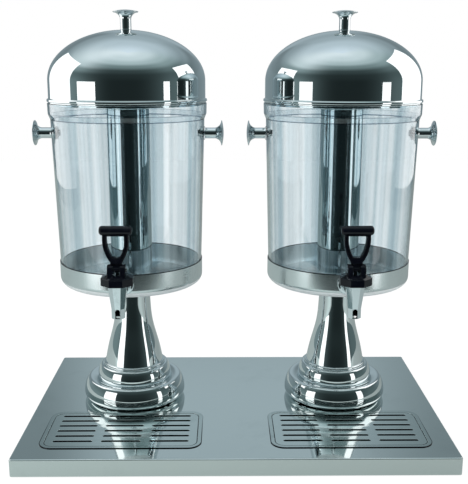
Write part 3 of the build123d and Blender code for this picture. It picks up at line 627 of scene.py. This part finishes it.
# Arc from a start with its direction to an end: its centre lies across that direction.
def tangentArc(start, direction, end, steps):
    start, end = np.array(start, float), np.array(end, float)
    across = np.array((-direction[1], direction[0]), float)
    chord = end - start
    centre = start + across * (chord @ chord) / (2 * chord @ across)
    first, last = start - centre, end - centre
    sweep = np.arctan2(first[0] * last[1] - first[1] * last[0], first @ last)
    t = np.linspace(0, 1, steps)[:, None] * sweep
    turned = np.column_stack([-first[1:2], first[0:1]])
    return centre + first * np.cos(t) + turned * np.sin(t)


# Face of a ring: upright at its foot, leaning back along a large arc, and closed by the small round that
# meets its end and the ring's top.
def leaningFace(radius, foot, face, lean, top, wall=0.0):
    turn = radians(lean)
    endR, endZ = radius - face * (1 - cos(turn)), foot + face * sin(turn)
    small = (top - endZ) / (1 - sin(turn))
    rise = ellipseArc((radius - face, foot), face - wall, face - wall, 0, lean, 14)
    centre = (endR - small * cos(turn), endZ - small * sin(turn))
    return np.vstack([rise, ellipseArc(centre, small - wall, small - wall, lean, 90, 10)[1:]])


def pedestalLine(low, high, wall, lip, lowRing, footRun, footRise, lowFace, lowLean, lowTop, root, highRing, highFoot,
                 highFace, highLean, highTop, bead, boltHole, plate, stem):
    foot, under = (lowRing - footRun, low + footRise), high - plate
    lower = (lowRing, foot[1], lowFace, lowLean, lowTop)
    upper = (highRing, highFoot, highFace, highLean, highTop)
    inner = splineLine([(x - wall, z) for x, z in stem[:-1]] + [(stem[-1][0] - wall, under)], 24)
    return np.vstack([
        [(lip, low)], ellipseArc(foot, footRun, footRise, -90, 0, 20)[:-1],
        leaningFace(*lower), tangentArc(leaningFace(*lower)[-1], (-1, 0), root, 12)[1:],
        tangentArc((highRing, highFoot), (0, -1), root, 8)[::-1][1:-1], leaningFace(*upper),
        arcThrough(*bead, 9), splineLine(stem, 60)[1:], [(boltHole, high), (boltHole, under)], inner[::-1],
        leaningFace(*upper, wall)[::-1], [(root[0] - wall, root[1]), (root[0] - wall / 2, root[1] - 1.5 * wall)],
        leaningFace(*lower, wall)[::-1], ellipseArc(foot, footRun - wall, footRise - wall, 0, -90, 10)[1:],
        [(lip, low + wall)]])


dish = dict(radius=101.5, low=201.0, high=235.0, sheet=1.0, corner=12.0, boltHole=9.3, edge=0.45)


def dishLine(radius, low, high, sheet, corner, boltHole, edge):
    inner, floor = radius - sheet, low + sheet
    return roundedLine([(boltHole, low), (radius, low, corner), (radius, high, edge), (inner, high, edge),
                        (inner, floor, corner - sheet), (boltHole, floor)], arcSteps=12)


jar = dict(
    low=203.5, floor=5.0, wall=3.0, corner=8.0, foot=99.6, shoulder=(106.0, 433.5), collar=(109.0, 441.0),
    rim=(109.4, 455.5), boltHole=9.3)


def jarLine(low, floor, wall, corner, foot, shoulder, collar, rim, boltHole):
    outer = [(foot, low, corner), (*shoulder, 4.0), (*collar, 3.0), (*rim, 1.0)]
    inner = [(r - wall, z, turn) for r, z, turn in outer[:0:-1]] + [(foot - wall, low + floor, 5.0)]
    return roundedLine([(boltHole, low), *outer, *inner, (boltHole, low + floor)], arcSteps=10)


tube = dict(
    radius=29.3, wall=1.0, low=210.5, high=450.0, corner=6.0, bead=1.2, beadHeight=3.0, bossRadius=9.0, bossLow=196.5)


def tubeLine(radius, wall, low, high, corner, bead, beadHeight, bossRadius, bossLow):
    inner, floor, beadLow = radius - wall, low + wall, high - beadHeight
    outside = roundedLine([(0, bossLow), (bossRadius, bossLow, 0.5), (bossRadius, low), (radius, low, corner),
                           (radius, beadLow - 1)])
    mouth = arcThrough((radius, beadLow), (radius + bead, high - beadHeight / 2), (radius, high), 9)
    inside = roundedLine([(radius, high), (inner, high, 0.4), (inner, floor, corner - wall), (0, floor)])
    return np.vstack([outside, mouth, inside])


knobSeats = dict(lid=553.0, side=413.5, sideOut=106.62)
for side, (x, y) in stations.items():
    knobGrid = turnedGrid(knobLine(**knob), knobSteps)
    lying = knobGrid + (0, 0, knobSeats["sideOut"])
    for label, surface, slotName, body, node, wrapRows in (
            ("Lid", turnedGrid(domeLine(**dome), wideSteps), "polished_steel", side + "_lid", "_lid", False),
            ("LidKnob", knobGrid + (0, 0, knobSeats["lid"]), "turned_steel", side + "_lid", "_lid_knob", False),
            ("KnobMinusX", alongX(lying, knobSeats["side"], -1), "turned_steel", "base", "_side_knob_minus_x", False),
            ("KnobPlusX", alongX(lying, knobSeats["side"]), "turned_steel", "base", "_side_knob_plus_x", False),
            ("Pedestal", turnedGrid(pedestalLine(**pedestal), wideSteps), "polished_steel", "base", "_pedestal",
             True),
            ("Dish", turnedGrid(dishLine(**dish), wideSteps), "dish_steel", "base", "_base_dish", True),
            ("Jar", turnedGrid(jarLine(**jar), wideSteps), "clear_jar", "base", "_jar", True),
            ("IceTube", turnedGrid(tubeLine(**tube), tubeSteps), "polished_steel", "base", "_ice_tube", False)):
        piece = gridPiece(side + label, surface, (x, y, 0), slotName, body, side + node, wrapRows=wrapRows)
        piece.visible_shadow = label != "Jar"  # clear walls let the light through to the dish and the tube
print("turned pieces made")


# Tap

shank = dict(inner=85.4, washerOut=103.5, flange=14.3, flangeThickness=4.0, neck=9.5, thread=8.0)
bonnet = dict(
    half=20.0, low=238.2, roof=245.0, slopeZ=247.5, topZ=251.4, topHalf=12.5, bore=14.0, edge=1.4, earIn=4.5,
    earOut=11.4, earRadius=6.6, earBack=10.0, earFront=8.0, earEdge=0.7)


def spoutGrid(v):
    outline = roundedPolygon(8, v["edge"] / v["topHalf"])
    outer = roundedLine([(0.01, v["topZ"]), (v["topHalf"], v["topZ"], 0.2), (v["tipHalf"], v["kneeZ"], 6.0),
                         (v["tipHalf"], v["tipZ"], 0.6), (v["bore"] + 0.8, v["tipZ"])])
    bore = roundedLine([(v["bore"] + 0.6, v["tipZ"]), (v["bore"], v["tipZ"] + 0.6, 0.3), (v["bore"], v["boreTop"]),
                        (0, v["boreTop"])])
    return np.concatenate([scaledGrid(outline, outer), roundGrid(outline, bore)])


# Neck, flange and threaded shank in one line out from the jar's axis.
def shankLine(end, inner, washerOut, flange, flangeThickness, neck, thread):
    front = washerOut + flangeThickness
    return roundedLine([
        (0, inner), (thread, inner, 0.8), (thread, washerOut - 0.1), (flange, washerOut, 0.6), (flange, front, 1.4),
        (neck, front + 0.6, 1.6), (neck, end), (0, end)])


def bonnetGrid(v):
    outline, bore = roundedPolygon(8, v["edge"] / v["half"]), v["bore"]
    outer = roundedLine([(bore + 1.0, v["low"]), (v["half"], v["low"], 0.5), (v["half"], v["slopeZ"], 0.9),
                         (v["topHalf"], v["topZ"], 1.2), (0, v["topZ"])])
    inside = np.array([(0, v["roof"]), (bore, v["roof"]), (bore, v["low"] + 0.3), (bore + 0.8, v["low"])])
    return np.concatenate([roundGrid(outline, inside), scaledGrid(outline, outer)])


# Side of an ear: a foot on the bonnet's slope, tangent sides and a round top about the pin.
def earOutline(v):
    centre = np.array((-tap["pinForward"], tap["pinZ"]))

    def tangentPoint(corner, sign):
        away = np.array(corner) - centre
        turn = np.arctan2(away[1], away[0]) + sign * np.arccos(v["earRadius"] / np.linalg.norm(away))
        return centre + v["earRadius"] * onCircle([turn])[0]

    footZ = v["slopeZ"] + 1.0
    front, back = (-tap["pinForward"] - v["earFront"], footZ), (v["earBack"], footZ)
    low, high = tangentPoint(front, -1), tangentPoint(back, 1)
    top = arcThrough(low, centre + (0, v["earRadius"]), high, 20)
    return np.vstack([[front], top, [back]])


for side, (x, y) in stations.items():
    tapY = y - tap["reach"]
    metal, black = ("tap_chrome", "base", side + "_tap_body"), ("black_plastic", "base", side + "_tap_bonnet")
    low, high, half, deep = spout["slotLow"], spout["slotHigh"], spout["slotWidth"] / 2, spout["cutHalf"]
    slotLine = roundedRectangle(half, (high - low) / 2, half - 0.01, 8)
    whole = gridPiece(side + "TapSpout", spoutGrid(spout), (x, tapY, 0), *metal)
    cutter = platePiece(side + "Slot", [slotLine], deep, 0.01, uprightXZ, (x, tapY - deep, (low + high) / 2),
                        *metal[:2])
    cutAway(whole, cutter)
    neck = alongMinusY(turnedGrid(shankLine(tap["reach"] - 5, **shank), neckSteps), tap["shankZ"])
    gridPiece(side + "TapShank", neck, (x, y, 0), *metal)
    gridPiece(side + "TapBonnet", bonnetGrid(bonnet), (x, tapY, 0), *black)
    middle, half = (bonnet["earIn"] + bonnet["earOut"]) / 2, (bonnet["earOut"] - bonnet["earIn"]) / 2
    for label, place in (("EarMinusX", x - middle), ("EarPlusX", x + middle)):
        platePiece(side + label, [earOutline(bonnet)], half, bonnet["earEdge"], uprightYZ, (place, tapY, 0), *black)
print("taps made")


# Lever, with places measured from its pin

lever = dict(
    hub=3.25, hubHalf=4.2, plateLow=7.0, shoulderHalf=7.2, waist=(7.4, 9.5), armMid=(13.8, 22.0),
    armEnd=(16.3, 42.0), loopFoot=(4.6, 16.4), loopSag=0.7, loopMid=(9.3, 27.0), loopTop=(10.9, 42.5), halfDepth=4.0,
    webHalf=2.3, border=1.75, edge=0.7, fineEdge=0.3, neckTop=12.0, shoulderInset=0.6, gripRadius=5.9,
    gripHalf=20.4, neckHalf=2.2, gripZ=49.2, gripEnd=3.8, toeHalf=2.2, toeRound=1.48, toeNeck=0.85)


def armLine(v):
    return arcThrough(v["waist"], v["armMid"], v["armEnd"], 18)


def mirrored(line):
    return (line * np.array((-1, 1)))[::-1]


def leverOutlines(v):
    rightSide = np.vstack([[(v["shoulderHalf"], v["plateLow"])], armLine(v), [(v["armEnd"][0], v["gripZ"])]])
    foot = v["loopFoot"]
    bottom = arcThrough((-foot[0], foot[1]), (0, foot[1] - v["loopSag"]), foot, 7)
    right = arcThrough(foot, v["loopMid"], v["loopTop"], 14)
    return np.vstack([rightSide, mirrored(rightSide)]), np.vstack([bottom, right[1:], mirrored(right)[:-1]])


# Moves a counter-clockwise outline inward by a distance, along the mean normal at each point.
def insetOutline(outline, distance):
    ahead = unit(np.roll(outline, -1, 0) - outline)
    mean = unit(ahead + np.roll(ahead, 1, 0))
    return outline + distance * np.column_stack([-mean[:, 1], mean[:, 0]])


# Section of a round rod about its middle.
def rodLine(radius, half, edge, arcSteps):
    return roundedLine([(0, -half), (radius, -half, edge), (radius, half, edge), (0, half)], arcSteps=arcSteps)


def toeOutline(v):
    turn = 180 - degrees(asin(v["toeNeck"] / v["toeRound"]))
    nose = ellipseArc((tap["pinForward"], 0), v["toeRound"], v["toeRound"], -turn, turn, 14)
    return np.vstack([[(0, -v["toeNeck"])], nose, [(0, v["toeNeck"])]])


def neckOutline(v):
    half, top = v["hubHalf"], v["neckTop"]
    return np.array([(-half, 0.0), (half, 0.0), (half, top), (-half, top)])


def shoulderOutline(v):
    side = np.vstack([[(v["shoulderHalf"], v["plateLow"])], armLine(v)[:4]]) - (v["shoulderInset"], 0)
    return np.vstack([side, mirrored(side)])


outer, hole = leverOutlines(lever)
borders = [outer, insetOutline(outer, lever["border"])], [insetOutline(hole, -lever["border"]), hole]
plates = {
    "Web": ([outer, hole], "webHalf", "fineEdge", uprightXZ),
    "OuterRib": (borders[0], "halfDepth", "edge", uprightXZ),
    "InnerRib": (borders[1], "halfDepth", "edge", uprightXZ),
    "Shoulder": ([shoulderOutline(lever)], "halfDepth", "edge", uprightXZ),
    "Neck": ([neckOutline(lever)], "neckHalf", "fineEdge", uprightXZ),
    "Toe": ([toeOutline(lever)], "toeHalf", "fineEdge", uprightYZ)}
grip = turnedGrid(rodLine(lever["gripRadius"], lever["gripHalf"], lever["gripEnd"], 9), gripSteps)
hub = turnedGrid(rodLine(lever["hub"], lever["hubHalf"], lever["fineEdge"], 7), hubSteps)
for side, (x, y) in stations.items():
    at = (x, y - tap["reach"] - tap["pinForward"], tap["pinZ"])
    black = ("black_plastic", side + "_lever", side + "_tap_lever")
    for label, (outlines, half, edge, turn) in plates.items():
        platePiece(side + "Lever" + label, outlines, lever[half], lever[edge], turn, at, *black)
    gridPiece(side + "LeverGrip", alongX(grip, lever["gripZ"]), at, *black)
    gridPiece(side + "LeverHub", alongX(hub, 0), at, *black)
print("levers made")


# Drip pan and grid

pan = dict(
    halfX=106.05, halfY=55.55, corner=18.3, low=25.0, high=26.0, recess=5.9, ledgeZ=24.5, ledge=4.0, draft=3.0,
    floorZ=9.0, floorRun=12.0, sheet=1.0, edge=0.45)
grid = dict(
    halfX=99.75, halfY=49.25, corner=12.0, low=24.5, thickness=1.2, slotLength=51.5, slotWidth=4.8, columns=3,
    columnPitch=63.0, rows=6, rowPitch=15.2, backShift=3.0, edge=0.35)


# The pan's section, as (distance in from the flange's edge, height), carried round a rounded rectangle that
# shrinks by that distance.
def panGrid(halfX, halfY, corner, low, high, recess, ledgeZ, ledge, draft, floorZ, floorRun, sheet, edge):
    inner, foot = recess + ledge, recess + ledge + draft
    top = roundedLine([
        (recess - 2.0, low), (0, low), (0, high, edge), (recess, high, edge), (recess, ledgeZ, 0.4),
        (inner, ledgeZ, 0.5), (foot, floorZ, 4.0), (foot + floorRun, floorZ)], arcSteps=6)
    under = roundedLine([
        (foot + floorRun, floorZ - sheet), (foot - sheet, floorZ - sheet, 5.0), (inner - sheet, ledgeZ - sheet, 0.5),
        (recess - sheet, ledgeZ - sheet, 0.5), (recess - sheet, low)], arcSteps=6)
    rings = []
    for run, z in np.vstack([under, top]):
        outline = roundedRectangle(halfX - run, halfY - run, max(corner - run, 3.0))
        rings.append(np.column_stack([outline, np.full(len(outline), z)]))
    centres = [np.zeros_like(rings[0]) + (0, 0, z) for z in (floorZ - sheet, floorZ)]
    return np.array([centres[0], *rings, centres[1]])


def gridOutlines(v):
    slot = roundedRectangle(v["slotLength"] / 2, v["slotWidth"] / 2, v["slotWidth"] / 2 - 0.01, 6)
    columns = (np.arange(v["columns"]) - (v["columns"] - 1) / 2) * v["columnPitch"]
    rows = (np.arange(v["rows"]) - (v["rows"] - 1) / 2) * v["rowPitch"] + v["backShift"]
    border = roundedRectangle(v["halfX"], v["halfY"], v["corner"])
    return [border] + [slot + (x, y) for x in columns for y in rows]


for side, (x, y) in wells.items():
    gridPiece(side + "DripPan", panGrid(**pan), (x, y, 0), "pan_steel", "base", side + "_drip_pan")
    half = grid["thickness"] / 2
    platePiece(side + "DripGrid", gridOutlines(grid), half, grid["edge"], Matrix.Identity(4),
               (x, y, grid["low"] + half), "grid_steel", side + "_grid", side + "_drip_grid")
print("drip pans and grids made")


# Camera and studio

cameraValues = dict(place=(-0.0161, -1.0898, 0.5054), yaw=0.76, pitch=12.51, roll=0.13, lens=59.08)


def addCamera(v):
    yaw, pitch, roll = (radians(v[label]) for label in ("yaw", "pitch", "roll"))
    forward = Vector((sin(yaw) * cos(pitch), cos(yaw) * cos(pitch), -sin(pitch)))
    level = Vector((cos(yaw), -sin(yaw), 0))
    rise = level.cross(forward)
    right = cos(roll) * level + sin(roll) * rise
    up = cos(roll) * rise - sin(roll) * level
    data = bpy.data.cameras.new("camera")
    data.lens = v["lens"]
    data.clip_end = 60
    camera = linked("camera", data)
    camera.matrix_world = Matrix.Translation(v["place"]) @ Matrix((right, up, -forward)).transposed().to_4x4()
    bpy.context.scene.camera = camera


# One for the rays that see plain white: what the camera, a mirror or clear plastic looks at.
def whiteSeen(tree):
    kinds = addNode(tree, "ShaderNodeLightPath").outputs
    return larger(larger(kinds["Is Camera Ray"], kinds["Is Transmission Ray"]), kinds["Is Glossy Ray"])


# One where polished metal has turned the ray, even if it then left through a clear wall.
def mirrorSeen(tree):
    return calc("MINIMUM", addNode(tree, "ShaderNodeLightPath").outputs["Glossy Depth"], 1.0)


worldValues = dict(plain=0.75, seen=1.0)


def addWorld(v):
    world = bpy.data.worlds.new("studioWorld")
    world.use_nodes = True
    strength = addRange(whiteSeen(world.node_tree), 0.0, 1.0, v["plain"], v["seen"], smooth=False)
    feed(world.node_tree.nodes["Background"], {"Color": (1, 1, 1, 1), "Strength": strength})
    bpy.context.scene.world = world


def stagePiece(name, points, finish, faces=((0, 1, 2, 3),)):
    mesh = bpy.data.meshes.new(name)
    mesh.from_pydata(points, [], faces)
    piece = linked(name, mesh)
    mesh.materials.append(finish)
    return piece


floorValues = dict(
    low=(-1.7, -0.6), high=(1.7, 3.2), glow=0.82, colour=0.8, seen=1.1, tint=(0.81, 1.0, 0.98),
    # The levels and the right share are painted light and shade of the table as polished surfaces show it: darkest at
    # its front edge, darker just in front of the tray, and darker to the right.
    levels=[(-0.6, 0.20), (-0.56, 0.66), (-0.45, 0.74), (-0.33, 0.64), (-0.24, 0.49), (-0.1, 0.45), (0.5, 0.39)],
    rightShare=0.72, sideRun=0.3)


# Colour ramp from (place, colour) pairs.
def addRamp(position, pairs):
    node = addNode(position.id_data, "ShaderNodeValToRGB", {0: position})
    node.color_ramp.interpolation = "EASE"
    stops = node.color_ramp.elements
    while len(stops) < len(pairs):
        stops.new(0.5)
    for stop, (place, colour) in zip(stops, pairs):
        stop.position = place
        stop.color = (*colour, 1)
    return node.outputs[0]


def mixShaders(share, first, second):
    mix = addNode(share.id_data, "ShaderNodeMixShader", {0: share, 1: first.outputs[0], 2: second.outputs[0]})
    feed(share.id_data.nodes["Material Output"], {"Surface": mix.outputs[0]})


# White table: partly lit and partly glowing where it is looked at, so that it stays white with a shadow. In polished
# surfaces it glows with painted light and shade that run with depth and sideways.
def addFloor(v):
    finish, tree, shader = newFinish("tableWhite")
    feed(shader, {"Base Color": (*(v["colour"],) * 3, 1), "Roughness": 1.0, "Specular IOR Level": 0.0})
    x, y, _ = splitVector(objectPlace(tree))
    first, last = v["levels"][0][0], v["levels"][-1][0]
    # Painted light and shade in the table's reflection: brightness by depth, and less to the right.
    reflected = addRamp(addRange(y, first, last, smooth=False), [
        ((at - first) / (last - first), [level * share for share in v["tint"]]) for at, level in v["levels"]])
    sideways = addRange(x, -v["sideRun"], v["sideRun"], 1.0, v["rightShare"], smooth=False)
    glow = addNode(tree, "ShaderNodeEmission", {
        "Color": blend(mirrorSeen(tree), (1, 1, 1), reflected),
        "Strength": addRange(mirrorSeen(tree), 0.0, 1.0, v["seen"], sideways, smooth=False)})
    mixShaders(times(whiteSeen(tree), v["glow"]), shader, glow)
    (x0, y0), (x1, y1) = v["low"], v["high"]
    stagePiece("table", [(x0, y0, 0), (x1, y0, 0), (x1, y1, 0), (x0, y1, 0)], finish)


def onlyForGloss(piece):
    piece.visible_camera = piece.visible_diffuse = piece.visible_shadow = False


# Upright cards, as (middle x, y, width, low z, high z, turn in degrees, brightness), seen only in polished
# surfaces.
cards = {
    "sideLeft": (-0.57, 0.135, 0.49, 0.28, 0.85, 90.0, 1.4), "sideRight": (0.58, 0.17, 0.52, 0.28, 0.96, 90.0, 1.4),
    "cornerLeft": (-0.90, -0.545, 0.53, 0.0, 0.475, -26.0, 1.5),
    "cornerRight": (0.89, -0.52, 0.25, 0.0, 0.475, 26.0, 1.5)}


def glowFinish(name, strength):
    finish, tree, shader = newFinish(name)
    tree.nodes.remove(shader)
    glow = addNode(tree, "ShaderNodeEmission", {"Strength": strength, "Color": (1, 1, 1, 1)})
    mixShaders(mirrorSeen(tree), addNode(tree, "ShaderNodeBsdfTransparent"), glow)
    return finish, tree, glow


def addCard(name, v):
    x, y, width, low, high, turn, strength = v
    dx, dy = cos(radians(turn)) * width / 2, sin(radians(turn)) * width / 2
    points = [(x - dx, y - dy, low), (x + dx, y + dy, low), (x + dx, y + dy, high), (x - dx, y - dy, high)]
    onlyForGloss(stagePiece(name, points, glowFinish(name, strength)[0]))


# Grey room round the set, seen only in polished surfaces. Its brightness runs with the height above the
# level, in its own way towards each side, as (degrees, brightness).
room = dict(
    radius=9.0, warm=(0.66, 0.26, 1.02), cool=(0.76, 0.12, 1.08), depthRun=0.6, sideRun=0.2,
    wings=((-0.15, -0.28), (0.13, 0.34)), blueRise=0.02)
roomSides = {
    "front": [(-90, 0.04), (0, 0.02), (22, 0.03), (36, 0.06), (50, 0.25), (60, 0.56), (73, 0.76), (90, 0.92)],
    "left": [(-90, 0.3), (0, 0.24), (22, 0.16), (34, 0.34), (44, 0.72), (60, 0.86), (75, 0.9), (90, 0.92)],
    "right": [(-90, 0.2), (0, 0.14), (24, 0.11), (38, 0.18), (50, 0.36), (60, 0.52), (75, 0.78), (90, 0.9)],
    "backSide": [(-90, 0.3), (0, 0.28), (12, 0.3), (18, 0.27), (28, 0.24), (38, 0.36), (62, 0.62), (90, 0.88)],
    "back": [(-90, 0.34), (0, 0.32), (12, 0.34), (24, 0.45), (36, 0.4), (48, 0.46), (62, 0.62), (90, 0.88)]}


# A tint is its red share in the dark, how far that rises with the brightness, and its blue share.
def addRoom(v):
    finish, tree, glow = glowFinish("roomGrey", 1.0)
    direction = addNode(tree, "ShaderNodeVectorMath", {0: objectPlace(tree)}, operation="NORMALIZE")
    x, y, z = splitVector(direction.outputs[0])
    position = addRange(calc("DEGREES", calc("ARCSINE", z)), -90.0, 90.0, smooth=False)
    ramps = {}
    for label, pairs in roomSides.items():
        red, rise, blue = v["cool" if label.startswith("back") else "warm"]
        ramps[label] = addRamp(position, [
            ((angle + 90) / 180, (level * (red + rise * level), level, level * (blue + v["blueRise"] * level)))
            for angle, level in pairs])
    flat = calc("SQRT", minus(1.0001, squared(z)))
    across, depth = calc("DIVIDE", x, flat), calc("DIVIDE", y, flat)
    wings = larger(*(addRange(across, *run) for run in v["wings"]))
    behind = blend(wings, ramps["back"], ramps["backSide"])
    along = blend(addRange(depth, -v["depthRun"], v["depthRun"]), ramps["front"], behind)
    aside = blend(addRange(across, -v["sideRun"], v["sideRun"]), ramps["left"], ramps["right"])
    feed(glow, {"Color": blend(squared(squared(across)), along, aside)})
    shell = turnedGrid(ellipseArc((0, 0), v["radius"], v["radius"], -90, 90, 33), 64)
    onlyForGloss(stagePiece("room", shell.reshape(-1, 3).tolist(), finish, gridFaces(shell)))


# Soft lamps, as (place, size, watts), turned to the middle of the object.
lampAim = (0, 0, 0.25)
lamps = {"keyLamp": ((-1.3, -1.2, 1.9), 1.2, 28.0), "fillLamp": ((1.6, -0.9, 1.3), 1.0, 12.0)}


def addLamp(name, v):
    place, size, power = v
    data = bpy.data.lights.new(name, "AREA")
    data.size = size
    data.energy = power
    lamp = linked(name, data)
    aim = Vector(lampAim) - Vector(place)
    lamp.matrix_world = Matrix.Translation(place) @ aim.to_track_quat("-Z", "Y").to_matrix().to_4x4()
    lamp.visible_glossy = False


addCamera(cameraValues)
addWorld(worldValues)
addFloor(floorValues)
addRoom(room)
for name, values in cards.items():
    addCard(name, values)
for name, values in lamps.items():
    addLamp(name, values)
bpy.context.scene.view_settings.view_transform = "Standard"
print("studio set")
